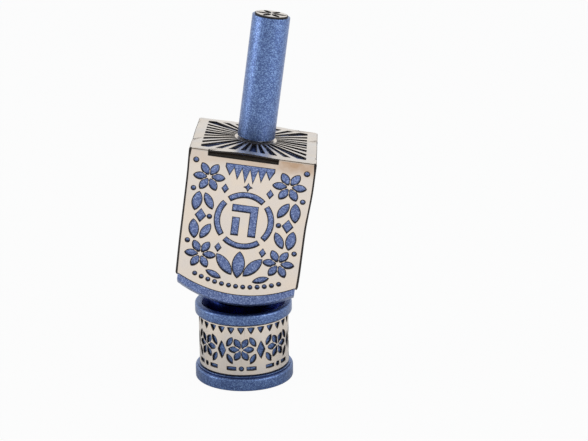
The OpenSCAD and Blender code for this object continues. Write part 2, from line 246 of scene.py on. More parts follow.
@dataclass(frozen=True)
class PlatedSheet:
    """Rolled brass sheet with a pale silver plating: a soft satin metal with faint warm clouds.

    The laser's heat leaves a tan tint beside the folds, and a darker copy of the plating serves as painted
    shade along each fold.
    """

    name: str = "silver_plated_sheet"
    cool: str = "#E5DBD2"
    warm: str = "#EBDDCE"
    tan: str = "#C2A58B"
    # The piece's attribute that tells how strong the tint is, and its share where a cloud thins it most
    tint: str = "laser_tint"
    thin_share: float = 0.45
    # Width of the clouds in the plating, and where in them it is cool, fully tinted and warm
    cloud_width: float = 2.4 * MM
    cool_share: float = 0.35
    tan_share: float = 0.6
    warm_share: float = 0.65
    # Width of the fine matt grain that the etching leaves
    grain_width: float = 0.09 * MM
    roughness: float = 0.36
    roughness_spread: float = 0.08
    relief: float = 0.003 * MM

    def make(self) -> bpy.types.Material:
        """Builds the material.

        Returns:
            The finished material.
        """
        material, tree, shader, where = new_material(self.name)
        cloud = add_node(tree, "ShaderNodeTexNoise", Vector=where, Scale=1 / self.cloud_width, Detail=4.0)
        ramp = add_node(tree, "ShaderNodeValToRGB", Fac=cloud.outputs["Fac"])
        ramp.color_ramp.elements[0].color = linear(self.cool)
        ramp.color_ramp.elements[0].position = self.cool_share
        ramp.color_ramp.elements[1].color = linear(self.warm)
        ramp.color_ramp.elements[1].position = self.warm_share
        heat = add_node(tree, "ShaderNodeAttribute", {"attribute_name": self.tint})
        patchy = add_node(tree, "ShaderNodeMapRange", Value=cloud.outputs["Fac"],
                          From_Min=self.cool_share, From_Max=self.tan_share, To_Min=self.thin_share,
                          To_Max=1.0)
        share = add_node(tree, "ShaderNodeMath", {"operation": "MULTIPLY"}, i0=heat.outputs["Fac"],
                         i1=patchy.outputs["Result"])
        colour = add_node(tree, "ShaderNodeMix", {"data_type": "RGBA"}, i0=share.outputs[0],
                          i6=ramp.outputs["Color"], i7=linear(self.tan))
        tree.links.new(colour.outputs[2], shader.inputs["Base Color"])
        grain = add_node(tree, "ShaderNodeTexNoise", Vector=where, Scale=1 / self.grain_width, Detail=2.0)
        gloss = add_node(tree, "ShaderNodeMapRange", Value=grain.outputs["Fac"],
                         To_Min=self.roughness - self.roughness_spread,
                         To_Max=self.roughness + self.roughness_spread)
        tree.links.new(gloss.outputs["Result"], shader.inputs["Roughness"])
        matt = add_node(tree, "ShaderNodeBump", Height=grain.outputs["Fac"], Distance=self.relief,
                        Strength=1.0)
        tree.links.new(matt.outputs["Normal"], shader.inputs["Normal"])
        shader.inputs["Metallic"].default_value = 1.0
        return material


@dataclass(frozen=True)
class BurntEdgeAndShade:
    """The edge that a laser leaves in plated sheet: dark brown oxide, finely mottled and nearly matt; also
    used as painted shade beside openings and round the block's top.
    """

    name: str = "laser_burnt_edge_and_painted_shade"
    char: str = "#150E0A"
    brown: str = "#37281C"
    # Width of one mottle, and where in the mottling it is charred and brown
    mottle_width: float = 0.12 * MM
    char_share: float = 0.4
    brown_share: float = 0.75
    roughness: float = 0.55
    # How much bare metal shows through
    bare: float = 0.15

    def make(self) -> bpy.types.Material:
        """Builds the material.

        Returns:
            The finished material.
        """
        material, tree, shader, where = new_material(self.name)
        mottle = add_node(tree, "ShaderNodeTexNoise", Vector=where, Scale=1 / self.mottle_width, Detail=3.0)
        ramp = add_node(tree, "ShaderNodeValToRGB", Fac=mottle.outputs["Fac"])
        ramp.color_ramp.elements[0].color = linear(self.char)
        ramp.color_ramp.elements[0].position = self.char_share
        ramp.color_ramp.elements[1].color = linear(self.brown)
        ramp.color_ramp.elements[1].position = self.brown_share
        tree.links.new(ramp.outputs["Color"], shader.inputs["Base Color"])
        shader.inputs["Roughness"].default_value = self.roughness
        shader.inputs["Metallic"].default_value = self.bare
        return material


@dataclass(frozen=True)
class PlainSteel:
    """Zinc-plated steel rod with a rolled thread: a cool metal with a slight haze."""

    name: str = "zinc_plated_steel"
    bright: str = "#B9BCC0"
    dull: str = "#8F9296"
    haze_width: float = 0.8 * MM
    # Roughness where the haze is thinnest, and where it is thickest
    least_roughness: float = 0.28
    most_roughness: float = 0.44

    def make(self) -> bpy.types.Material:
        """Builds the material.

        Returns:
            The finished material.
        """
        material, tree, shader, where = new_material(self.name)
        haze = add_node(tree, "ShaderNodeTexNoise", Vector=where, Scale=1 / self.haze_width, Detail=4.0)
        ramp = add_node(tree, "ShaderNodeValToRGB", Fac=haze.outputs["Fac"])
        ramp.color_ramp.elements[0].color = linear(self.dull)
        ramp.color_ramp.elements[1].color = linear(self.bright)
        tree.links.new(ramp.outputs["Color"], shader.inputs["Base Color"])
        gloss = add_node(tree, "ShaderNodeMapRange", Value=haze.outputs["Fac"],
                         To_Min=self.least_roughness, To_Max=self.most_roughness)
        tree.links.new(gloss.outputs["Result"], shader.inputs["Roughness"])
        shader.inputs["Metallic"].default_value = 1.0
        return material


@dataclass
class Finishes:
    """Every material of the part, each made once, and the name of the tint's attribute."""

    tint: str = PlatedSheet.tint
    blue: bpy.types.Material = field(default_factory=AnodisedAluminium().make)
    block_blue: bpy.types.Material = field(default_factory=AnodisedAluminium(
        "anodised_aluminium_pale", grain_dark="#425380", grain_mid="#5B6C9C", grain_light="#8FA0C8",
        depth=1.18).make)
    # The stand's blue is darkened as painted shade under the overhanging block
    stand_blue_shaded: bpy.types.Material = field(
        default_factory=AnodisedAluminium("anodised_aluminium_stand_painted_shade", depth=0.87).make)
    turned_shade: bpy.types.Material = field(default_factory=ShadedTurnedAluminium().make)
    # A darker turned finish: painted shade on the stand's step under the band
    step: bpy.types.Material = field(default_factory=ShadedTurnedAluminium(
        "anodised_aluminium_step_painted_shade", valley="#28355F", crest="#41527F").make)
    silver: bpy.types.Material = field(default_factory=PlatedSheet().make)
    # A darker copy of the plating: painted shade along each fold
    fold_shade: bpy.types.Material = field(default_factory=PlatedSheet(
        "fold_painted_shade", cool="#8F7F6C", warm="#6F5D4A").make)
    edge: bpy.types.Material = field(default_factory=BurntEdgeAndShade().make)
    steel: bpy.types.Material = field(default_factory=PlainSteel().make)


def leaning_place() -> Matrix:
    """Gives the place of the leaning dreidel.

    Returns:
        The matrix that takes a point of the upright dreidel, measured from its pip's lowest point, to
        its place in the stand.
    """
    spin = next(j for j in frame["joints"] if j["name"] == "spin")
    lean = math.atan2(spin["axis"][0], spin["axis"][2])
    return (Matrix.Translation(Vector(spin["pos_m"])) @ Matrix.Rotation(lean, 4, "Y")
            @ Matrix.Translation((0, 0, -PIP_RADIUS)))


def cad_mesh(node: str, place: Matrix) -> bmesh.types.BMesh:
    """Copies a CAD node's mesh and joins its loose triangles.

    Args:
        node: the node's name.
        place: the matrix whose frame the copy is wanted in.

    Returns:
        The joined copy, in that frame.
    """
    mesh = bmesh.new()
    mesh.from_mesh(frame["nodes"][node].data)
    bmesh.ops.remove_doubles(mesh, verts=mesh.verts, dist=MERGE_DISTANCE)
    mesh.transform(place.inverted())
    mesh.normal_update()
    return mesh


def finish_piece(mesh: bmesh.types.BMesh, name: str, place: Matrix,
                 materials: list[bpy.types.Material], sharp_angle: float = 30) -> bpy.types.Object:
    """Turns a mesh into an object at the origin, with its place in its vertices.

    Args:
        mesh: the mesh, which is used up.
        name: the object's name.
        place: the matrix that takes the mesh to its place.
        materials: its materials, in the order of its faces' numbers.
        sharp_angle: edges that turn more than this, in degrees, stay sharp, and so do those between
            two materials.

    Returns:
        The new object.
    """
    mesh.transform(place)
    for face in mesh.faces:
        face.smooth = True
    for edge in mesh.edges:
        edge.smooth = (edge.calc_face_angle(math.pi) < math.radians(sharp_angle)
                       and len({face.material_index for face in edge.link_faces}) == 1)
    data = bpy.data.meshes.new(name)
    mesh.to_mesh(data)
    mesh.free()
    for material in materials:
        data.materials.append(material)
    piece = bpy.data.objects.new(name, data)
    bpy.context.scene.collection.objects.link(piece)
    return piece


def register(piece: bpy.types.Object, body: Body, node: str) -> None:
    """Puts a finished piece on its body, in the place of a CAD node.

    Args:
        piece: the finished piece.
        body: the body that it moves with.
        node: the CAD node that it stands for.
    """
    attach(piece, body.value)
    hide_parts(node)
    log.info("%s rides on %s with %d faces", piece.name, body.value, len(piece.data.polygons))


class Side(Enum):
    """Where a face of a cut sheet lies."""

    OUTER = "outer skin"
    INNER = "back"
    CUT = "cut edge"


class Dress(IntEnum):
    """The materials of a cut sheet's faces, in the order of its slots."""

    PLATED = 0
    # Burnt cut edges, and the strip of painted shade beside them
    BURNT_AND_SHADE = 1
    FOLD_SHADE = 2


@dataclass
class CutSheet(ABC):
    """A laser-cut sheet: its solid, with a dark rim round every opening, partly burnt edge and partly
    painted shade of the gap under the sheet, cut fine enough to bend.
    """

    node: str
    name: str
    place: Matrix
    thickness: float = 0.2 * MM
    # Width of the dark rim, burnt edge widened with painted shade of the gap under the sheet, and how far
    # it is eased
    burnt_and_shaded_rim: float = 0.13 * MM
    rim_drop: float = 0.035 * MM
    # A face this close to the skin's true surface lies on it
    near: float = 0.02 * MM

    @abstractmethod
    def side_of(self, face: bmesh.types.BMFace) -> Side:
        """Tells where a face of the exact solid lies."""

    @abstractmethod
    def outward(self, point: Vector) -> Vector:
        """Gives the sheet's outward direction at a point."""

    @abstractmethod
    def planes(self) -> list[tuple[Vector, Vector]]:
        """Lists the planes, each as a point and a normal, that cut the sheet fine enough to bend."""

    @abstractmethod
    def bend(self, point: Vector) -> Vector:
        """Moves a point of the exact solid to where the handmade sheet has it."""

    def heat(self, point: Vector) -> float:
        """Gives how strong the laser's tint is at a point: none, unless the sheet has scored folds."""
        return 0.0

    def shows_true(self, face: bpy.types.MeshPolygon) -> bool:
        """Tells whether a finished face takes its true shape's normals: none, unless the skin is curved."""
        return False

    def true_normal(self, point: Vector) -> Vector:
        """Gives the true shape's normal at a finished vertex."""
        return self.outward(point)

    def layer(self, depth: float) -> Side:
        """Names the side that lies at a depth below the outer skin.

        Args:
            depth: the distance from the outer skin.

        Returns:
            The outer skin, the back, or a cut edge where it is neither.
        """
        if abs(depth) < self.near:
            return Side.OUTER
        return Side.INNER if abs(depth - self.thickness) < self.near else Side.CUT

    def build(self, finishes: Finishes) -> bpy.types.Object:
        """Makes the sheet.

        Args:
            finishes: the part's materials.

        Returns:
            The finished object.
        """
        mesh = cad_mesh(self.node, self.place)
        self.burn_and_shade_rim(mesh)
        for point, normal in self.planes():
            bmesh.ops.bisect_plane(mesh, geom=[*mesh.verts, *mesh.edges, *mesh.faces], plane_co=point,
                                   plane_no=normal, dist=MERGE_DISTANCE)
        tint = mesh.verts.layers.float.new(finishes.tint)
        for vertex in mesh.verts:
            vertex[tint] = self.heat(vertex.co)
            vertex.co = self.bend(vertex.co)
        piece = finish_piece(mesh, self.name, self.place, [finishes.silver, finishes.edge, finishes.fold_shade])
        self.smooth_skin(piece.data)
        return piece

    def smooth_skin(self, data: bpy.types.Mesh) -> None:
        """Gives the faces of a curved skin the normals of its true shape, so that no facet shows.

        Args:
            data: the finished mesh.
        """
        curved = [face for face in data.polygons
                  if face.material_index == Dress.PLATED and self.shows_true(face)]
        normals = [Vector((0, 0, 0)) for loop in data.loops]
        for face in curved:
            for k in face.loop_indices:
                normals[k] = self.true_normal(data.vertices[data.loops[k].vertex_index].co)
        if curved:
            data.normals_split_custom_set(normals)

    def burn_and_shade_rim(self, mesh: bmesh.types.BMesh) -> None:
        """Gives the cut faces the burnt material, and a narrow eased strip of the skin along them the same
        dark material, as burnt edge and painted shade.

        Args:
            mesh: the exact solid's mesh.
        """
        skin = []
        for face in mesh.faces:
            side = self.side_of(face)
            face.material_index = Dress.BURNT_AND_SHADE if side is Side.CUT else Dress.PLATED
            if side is Side.OUTER:
                skin.append(face)
        strip = bmesh.ops.inset_region(mesh, faces=skin, thickness=self.burnt_and_shaded_rim, use_boundary=True,
                                       use_even_offset=False)["faces"]
        kept = set(skin)
        for face in strip:
            face.material_index = Dress.BURNT_AND_SHADE
        for vertex in {v for f in strip for v in f.verts}:
            if kept.isdisjoint(vertex.link_faces):
                vertex.co -= self.outward(vertex.co) * self.rim_drop


def smooth(start: float, end: float, value: float) -> float:
    """Gives an S-shaped share that grows from 0 at start to 1 at end."""
    share = max(0.0, min(1.0, (value - start) / (end - start)))
    return share * share * (3 - 2 * share)


@dataclass
class FoldedCover(CutSheet):
    """The cross-shaped sheet that is folded over the block."""

    fold_radius: float = 0.26 * MM
    # Distance between the planes that cut the sheet fine enough to bend
    step: float = 1.0 * MM
    # Relief slots: their length and their shift along each side
    slot_length: float = 9.4 * MM
    slot_shift: float = 1.1 * MM
    # How far the plate bows up in its middle, and its free edge at a relief slot
    plate_bow: float = 0.3 * MM
    edge_bow: float = 0.2 * MM
    # How far a hand-bent side stands off at its lower corners
    corner_lift: float = 0.1 * MM
    # How far the sheet stands off on the right near its top, most at the front, and lower down, and on
    # the left
    right_slack: float = 0.31 * MM
    right_slack_low: float = 0.15 * MM
    left_slack: float = 0.2 * MM
    # Where the slack begins, as a share of the way from the sheet's middle to an upright fold
    slack_from_share: float = 0.3
    # Shares of the way down a side where the left's slack has halved and where it begins to end, where
    # the right's upper slack begins to fade and has faded, and where its lower slack begins to end
    left_half_share: float = 0.2
    left_end_share: float = 0.6
    right_fade_share: float = 0.15
    right_faded_share: float = 0.5
    right_end_share: float = 0.75
    # How far the front and the back reach over the edges of the two other sides, and the share of the
    # way down at which they do so in full
    lap: float = 0.12 * MM
    lap_share: float = 0.05
    # Height and width of the ripples, and the share of the way down at which they are full
    ripple: float = 0.03 * MM
    ripple_width: float = 6 * MM
    ripple_share: float = 0.2
    # How far the laser's tint reaches down from a fold, how much of that it fills in full, and where on
    # the fold's curve it begins
    tinted: float = 2.6 * MM
    tint_full_share: float = 1 / 3
    tint_from_share: float = 0.4
    # The tint left of the front's middle, and where to the right it begins to grow and is full
    tint_left: float = 0.45
    tint_grow_share: float = -0.2
    tint_right_share: float = 0.6
    # A line of painted shade runs along each fold, where its faces look up by between these shares
    fold_shade_low_share: float = 0.55
    fold_shade_high_share: float = 0.88
    # Faces that look up by more than this share, and lie this near the top, belong to the plate
    plate_up_share: float = 0.5
    plate_depth: float = 0.1 * MM

    def __post_init__(self) -> None:
        """Measures the sheet's solid in the upright dreidel's frame."""
        self.back = self.place.inverted()
        self.turn = self.place.to_3x3()
        mesh = cad_mesh(self.node, self.place)
        self.reach = max(v.co.y for v in mesh.verts)
        self.top = max(v.co.z for v in mesh.verts)
        self.foot = min(v.co.z for v in mesh.verts)
        mesh.free()

    def side_of(self, face: bmesh.types.BMFace) -> Side:
        """Tells where a face of the plate, a side or a fold lies.

        Args:
            face: a face of the exact solid.

        Returns:
            The side that it belongs to.
        """
        normal, centre = face.normal, face.calc_center_median()
        if abs(normal.z) > SQUARE:
            return self.layer(self.top - centre.z)
        axis = 0 if abs(normal.x) > abs(normal.y) else 1
        if abs(normal[axis]) > SQUARE:
            return self.layer(self.reach - abs(centre[axis]))
        across = abs(centre[axis]) - self.reach + self.fold_radius
        rise = centre.z - self.top + self.fold_radius
        if min(across, rise) > 0 and abs(normal[1 - axis]) < 1 - SQUARE:
            return self.layer(self.fold_radius - math.hypot(across, rise))
        return Side.CUT

    def outward(self, point: Vector) -> Vector:
        """Gives the direction away from the plate, a side or a fold.

        Args:
            point: a point on the skin.

        Returns:
            A unit vector.
        """
        axis = 0 if abs(point.x) > abs(point.y) else 1
        across = max(0.0, abs(point[axis]) - self.reach + self.fold_radius)
        rise = max(0.0, point.z - self.top + self.fold_radius)
        away = Vector((0, 0, rise))
        away[axis] = math.copysign(across, point[axis])
        return away.normalized()

    def planes(self) -> list[tuple[Vector, Vector]]:
        """Lists planes across the sheet's three directions.

        Returns:
            A point and a normal for each.
        """
        across = int(self.reach / self.step)
        upright = int((self.top - self.foot) / self.step)
        listed = [(Vector((k * self.step, 0, 0)), Vector((1, 0, 0))) for k in range(-across, across + 1)]
        listed += [(Vector((0, k * self.step, 0)), Vector((0, 1, 0))) for k in range(-across, across + 1)]
        listed += [(Vector((0, 0, self.foot + k * self.step)), Vector((0, 0, 1)))
                   for k in range(1, upright + 1)]
        return listed

    def slot_bow(self, along: float) -> float:
        """Gives the bow of a plate edge that a relief slot frees.

        Args:
            along: the place along the edge, from the slot's middle.

        Returns:
            The share of the edge's greatest bow.
        """
        share = min(1.0, abs(along) / (self.slot_length / 2))
        return math.cos(share * math.pi / 2) ** 2

    def rise(self, x: float, y: float) -> float:
        """Gives how far the plate bows up at a place.

        Args:
            x: the place along the upright dreidel's X axis.
            y: the place along its Y axis.

        Returns:
            The rise over the flat plate.
        """
        u, v = (max(-1.0, min(1.0, c / (self.reach - self.fold_radius))) for c in (x, y))
        front = self.slot_bow(x + math.copysign(self.slot_shift, -v)) * v ** 4
        side = self.slot_bow(y + math.copysign(self.slot_shift, u)) * u ** 4
        return self.plate_bow * (1 - u * u) * (1 - v * v) + self.edge_bow * (front + side)

    def shows_true(self, face: bpy.types.MeshPolygon) -> bool:
        """Tells whether a finished face lies on the plate's skin, inside its folds.

        Args:
            face: a face of the finished mesh.

        Returns:
            Whether it takes the normals of the plate's bow.
        """
        centre = self.back @ face.center
        level = (self.turn.transposed() @ face.normal).z > self.plate_up_share
        across = max(abs(centre.x - self.slack(centre, 0.0)), abs(centre.y))
        return level and centre.z > self.top - self.plate_depth and across < self.reach - self.fold_radius

    def true_normal(self, point: Vector) -> Vector:
        """Gives the normal of the plate's bow.

        Args:
            point: a finished vertex.

        Returns:
            A unit vector.
        """
        x, y, _ = self.back @ point
        slope = Vector((self.rise(x - self.near, y) - self.rise(x + self.near, y),
                        self.rise(x, y - self.near) - self.rise(x, y + self.near), 2 * self.near))
        return self.turn @ slope.normalized()

    def bend(self, point: Vector) -> Vector:
        """Bows the plate up, and lets the sides stand off and ripple a little.

        Args:
            point: a point of the exact solid.

        Returns:
            Its place on the hand-bent sheet.
        """
        half = self.reach - self.fold_radius
        drop = max(0.0, (self.top - self.fold_radius - point.z) / (self.top - self.foot))
        lapping = abs(point.y) > self.reach - self.thickness - self.near
        if lapping and abs(point.x) > half - self.burnt_and_shaded_rim - self.near:
            lap = self.lap * min(1.0, drop / self.lap_share)
            point = point + Vector((math.copysign(lap, point.x), 0, 0))
        point = point + Vector((self.slack(point, drop), 0, 0))
        if point.z > self.top - self.thickness - self.near:
            return point + Vector((0, 0, self.rise(point.x, point.y)))
        axis = 0 if abs(point.x) > abs(point.y) else 1
        away = Vector((0, 0, 0))
        away[axis] = math.copysign(1, point[axis])
        beside = min(1.0, abs(point[1 - axis]) / half)
        wave = (noise.noise(point / self.ripple_width) + 1) / 2 * self.ripple
        lift = self.corner_lift * beside ** 3 * drop ** 3
        return point + away * (wave * min(1.0, drop / self.ripple_share) + lift)

    def burn_and_shade_rim(self, mesh: bmesh.types.BMesh) -> None:
        """Darkens the rims as burnt edge and painted shade, and paints a fine dark line of painted shade
        along each fold.

        Args:
            mesh: the exact solid's mesh.
        """
        super().burn_and_shade_rim(mesh)
        for face in mesh.faces:
            fold_shade = self.fold_shade_low_share < face.normal.z < self.fold_shade_high_share
            if fold_shade and face.material_index == Dress.PLATED and self.side_of(face) is Side.OUTER:
                face.material_index = Dress.FOLD_SHADE

    def heat(self, point: Vector) -> float:
        """Gives how strong the laser's tint is: most under the front's fold, right of the middle.

        Args:
            point: a point of the exact solid.

        Returns:
            The tint's share.
        """
        depth = self.top - point.z
        under = smooth(self.tint_from_share, 1.0, depth / self.fold_radius)
        above = 1 - smooth(self.tinted * self.tint_full_share, self.tinted, depth)
        right = -point.x * math.copysign(1, point.y) / self.reach
        grown = smooth(self.tint_grow_share, self.tint_right_share, right)
        return under * above * (self.tint_left + (1 - self.tint_left) * grown)

    def slack(self, point: Vector, drop: float) -> float:
        """Gives how far the loose sheet is spread along X.

        Args:
            point: a point of the exact solid.
            drop: the point's share of the way down a side.

        Returns:
            The distance, which grows from the sheet's middle to its two upright folds.
        """
        share = smooth(self.slack_from_share, 1.0, abs(point.x) / self.reach)
        if point.x < 0:
            upper = 1 - smooth(0.0, self.left_half_share, drop) / 2
            return -share * self.left_slack * upper * (1 - smooth(self.left_end_share, 1.0, drop))
        forward = (1 - point.y / self.reach) / 2
        faded = smooth(self.right_fade_share, self.right_faded_share, drop)
        low = self.right_slack_low * (1 - smooth(self.right_end_share, 1.0, drop))
        return share * (self.right_slack * forward * (1 - faded) + low)


@dataclass
class RoundBand(CutSheet):
    """The laser-cut band that is bent round the stand's waist."""

    # Angle between the planes that cut it fine enough to bend, in degrees
    step: float = 3.0
    # Faces that look outwards or inwards by this share belong to the skin or the back
    skin_share: float = 0.9
    # Points that lie less than this share of the rim's drop below the skin belong to it
    skin_depth_share: float = 0.7

    def __post_init__(self) -> None:
        """Measures the band's solid."""
        mesh = cad_mesh(self.node, self.place)
        self.radius = max(math.hypot(v.co.x, v.co.y) for v in mesh.verts)
        mesh.free()

    def side_of(self, face: bmesh.types.BMFace) -> Side:
        """Tells whether a face lies on the band's round skin, its back or a cut edge.

        Args:
            face: a face of the exact solid.

        Returns:
            The side that it belongs to.
        """
        centre = face.calc_center_median()
        if abs(face.normal.dot(self.outward(centre))) < self.skin_share:
            return Side.CUT
        return self.layer(self.radius - math.hypot(centre.x, centre.y))

    def outward(self, point: Vector) -> Vector:
        """Gives the direction away from the stand's axis."""
        return Vector((point.x, point.y, 0)).normalized()

    def planes(self) -> list[tuple[Vector, Vector]]:
        """Lists planes through the stand's axis."""
        turns = [math.radians(self.step * k) for k in range(int(180 / self.step))]
        return [(Vector((0, 0, 0)), Vector((math.cos(a), math.sin(a), 0))) for a in turns]

    def bend(self, point: Vector) -> Vector:
        """Puts a point of the outer skin, above the eased rims, back on its true circle.

        Args:
            point: a point of the exact solid.

        Returns:
            Its place on the round band.
        """
        distance = math.hypot(point.x, point.y)
        if self.radius - distance > self.rim_drop * self.skin_depth_share:
            return point
        stretch = self.radius / distance
        return Vector((point.x * stretch, point.y * stretch, point.z))

    def shows_true(self, face: bpy.types.MeshPolygon) -> bool:
        """Tells whether a finished face lies on the band's round skin."""
        return face.normal.dot(self.outward(face.center)) > self.skin_share


@dataclass
class EndDisc(CutSheet):
    """The laser-cut disc on the stem's end."""

    def __post_init__(self) -> None:
        """Measures the disc's solid."""
        mesh = cad_mesh(self.node, self.place)
        self.top = max(v.co.z for v in mesh.verts)
        mesh.free()

    def side_of(self, face: bmesh.types.BMFace) -> Side:
        """Tells whether a face lies on the disc's skin, its back or a cut edge."""
        level = abs(face.normal.z) > SQUARE
        return self.layer(self.top - face.calc_center_median().z) if level else Side.CUT

    def outward(self, point: Vector) -> Vector:
        """Gives the stem's direction."""
        return Vector((0, 0, 1))

    def planes(self) -> list[tuple[Vector, Vector]]:
        """Lists no planes, because the disc stays flat."""
        return []

    def bend(self, point: Vector) -> Vector:
        """Leaves a point where it is."""
        return point


@dataclass
class SquareBlock:
    """The square block with its domed bottom, foot and pip."""

    place: Matrix
    # Width and steps of the rounding that the blasting leaves on edges that turn by this angle or more
    eased: float = 0.1 * MM
    eased_steps: int = 3
    sharp_from: float = 40
    # Painted shade round the block's top, under the plate's edge, which shows dark in the relief slots:
    # from this height on, on faces that look up by less than this share
    slot_shade_from: float = 25.92 * MM
    slot_shade_up_share: float = 0.9
    # The foot and the pip stay as turned, in a dark finish that is painted shade, up to this height and
    # distance from the axis
    turned_shade_to: float = 3.3 * MM
    turned_shade_r: float = 4.65 * MM

    def build(self, finishes: Finishes) -> bpy.types.Object:
        """Makes the block from a joined copy of its solid, with its sharp edges eased.

        Args:
            finishes: the part's materials.

        Returns:
            The finished object.
        """
        mesh = cad_mesh("block", self.place)
        limit = math.radians(self.sharp_from)
        sharp = [e for e in mesh.edges if e.calc_face_angle(0) > limit]
        bmesh.ops.bevel(mesh, geom=sharp, offset=self.eased, offset_type="OFFSET",
                        segments=self.eased_steps, profile=0.5, affect="EDGES", clamp_overlap=True)
        bmesh.ops.bisect_plane(mesh, geom=[*mesh.verts, *mesh.edges, *mesh.faces],
                               plane_co=(0, 0, self.slot_shade_from), plane_no=(0, 0, 1), dist=MERGE_DISTANCE)
        materials = [finishes.block_blue, finishes.edge, finishes.turned_shade]
        # Painted shade: the burnt edge's material round the block's top, and the dark turned finish on the
        # foot and the pip
        for face in mesh.faces:
            middle = face.calc_center_median()
            outside = middle.xy.length > self.turned_shade_r
            if outside and middle.z > self.slot_shade_from and face.normal.z < self.slot_shade_up_share:
                face.material_index = materials.index(finishes.edge)
            elif not outside and middle.z < self.turned_shade_to:
                face.material_index = materials.index(finishes.turned_shade)
        return finish_piece(mesh, "square_block", self.place, materials)


# The points of a turned outline, each a distance from the axis and a height
Outline = list[tuple[float, float]]


def corner(r: float, z: float, radius: float, start: float, steps: int = 6) -> Outline:
    """Draws a quarter round in a turned outline.

    Args:
        r: the distance of its centre from the axis.
        z: the height of its centre.
        radius: its radius.
        start: the angle of its first point in degrees, from the outward direction; it turns to the left.
        steps: how many straight pieces it has.

    Returns:
        Its points.
    """
    turns = [math.radians(start + 90 * k / steps) for k in range(steps + 1)]
    return [(r + radius * math.cos(a), z + radius * math.sin(a)) for a in turns]


def lathe(outline: Outline, segments: int = 180) -> bmesh.types.BMesh:
    """Turns an outline round the Z axis.

    Args:
        outline: its points, from the axis back to the axis.
        segments: how many faces one turn has.

    Returns:
        The closed mesh, whose faces point outwards.
    """
    mesh = bmesh.new()
    rings = []
    for r, z in outline:
        count = segments if r > 0 else 1
        rings.append([mesh.verts.new((r * math.cos(math.tau * k / segments),
                                      r * math.sin(math.tau * k / segments), z)) for k in range(count)])
    for low, high in zip(rings, rings[1:]):
        for k in range(segments):
            after = (k + 1) % segments
            around = [low[k % len(low)], low[after % len(low)],
                      high[after % len(high)], high[k % len(high)]]
            mesh.faces.new(list(dict.fromkeys(around)))
    bmesh.ops.recalc_face_normals(mesh, faces=mesh.faces)
    return mesh


@dataclass
class Stem:
    """The turned stem, with its bore for the stud."""

    place: Matrix
    radius: float = 2.64 * MM
    # Height of its lower end over the pip's lowest point
    foot: float = 27.19 * MM
    length: float = 17.35 * MM
    eased: float = 0.07 * MM
    bore: float = 1.55 * MM
    bore_depth: float = 6.9 * MM

    def build(self, finishes: Finishes) -> bpy.types.Object:
        """Makes the stem.

        Args:
            finishes: the part's materials.

        Returns:
            The finished object.
        """
        inside, top = self.radius - self.eased, self.foot + self.length
        outline = [(0, self.foot + self.bore_depth), (self.bore, self.foot + self.bore_depth),
                   (self.bore, self.foot), *corner(inside, self.foot + self.eased, self.eased, -90),
                   *corner(inside, top - self.eased, self.eased, 0), (0, top)]
        return finish_piece(lathe(outline), "turned_stem", self.place, [finishes.blue])


@dataclass
class Stand:
    """The turned spool that the dreidel stands in."""

    # Radii and heights of its steps, from the base up, and the roundings of their edges
    base_r: float = 7.1 * MM
    base_h: float = 1.8 * MM
    shoulder_r: float = 6.75 * MM
    shoulder_h: float = 0.25 * MM
    waist_r: float = 6.25 * MM
    waist_h: float = 7.75 * MM
    flange_r: float = 7.0 * MM
    flange_h: float = 1.6 * MM
    rounding: float = 0.3 * MM
    base_rounding: float = 0.1 * MM
    # The recess, which narrows from its mouth to its floor
    mouth_r: float = 6.1 * MM
    mouth_bevel: float = 0.2 * MM
    floor_r: float = 4.8 * MM
    recess_depth: float = 2.7 * MM
    # Rounding that the blasting leaves on the small edges
    eased: float = 0.05 * MM
    segments: int = 240

    def build(self, finishes: Finishes) -> bpy.types.Object:
        """Makes the spool.

        Args:
            finishes: the part's materials.

        Returns:
            The finished object.
        """
        edge, low, soft = self.rounding, self.base_rounding, self.eased
        shoulder_z = self.base_h + self.shoulder_h
        flange_z = shoulder_z + self.waist_h
        top = flange_z + self.flange_h
        slope = (self.mouth_r - self.floor_r) / self.recess_depth
        bevel_r = self.mouth_r - slope * self.mouth_bevel
        outline = [
            (0, 0), *corner(self.base_r - low, low, low, -90),
            *corner(self.base_r - edge, self.base_h - edge, edge, 0), (self.shoulder_r, self.base_h),
            *corner(self.shoulder_r - soft, shoulder_z - soft, soft, 0), (self.waist_r, shoulder_z),
            (self.waist_r, flange_z), *corner(self.flange_r - edge, flange_z + edge, edge, -90),
            *corner(self.flange_r - edge, top - edge, edge, 0), (bevel_r + self.mouth_bevel, top),
            (bevel_r, top - self.mouth_bevel), (self.floor_r, top - self.recess_depth),
            (0, top - self.recess_depth),
        ]
        mesh = lathe(outline, self.segments)
        materials = [finishes.stand_blue_shaded, finishes.turned_shade, finishes.step]
        for face in mesh.faces:
            middle = face.calc_center_median()
            reach = middle.xy.length
            in_recess = top - self.recess_depth - soft < middle.z < top - self.mouth_bevel
            # Painted shade: the step under the band takes a darker turned finish
            on_shaded_step = self.base_h - soft < middle.z < shoulder_z - soft
            # Painted shade: the recess takes the dark turned finish
            if in_recess and reach < bevel_r:
                face.material_index = materials.index(finishes.turned_shade)
            elif on_shaded_step and self.waist_r < reach < self.base_r - edge:
                face.material_index = materials.index(finishes.step)
        return finish_piece(mesh, "turned_stand", Matrix.Identity(4), materials)


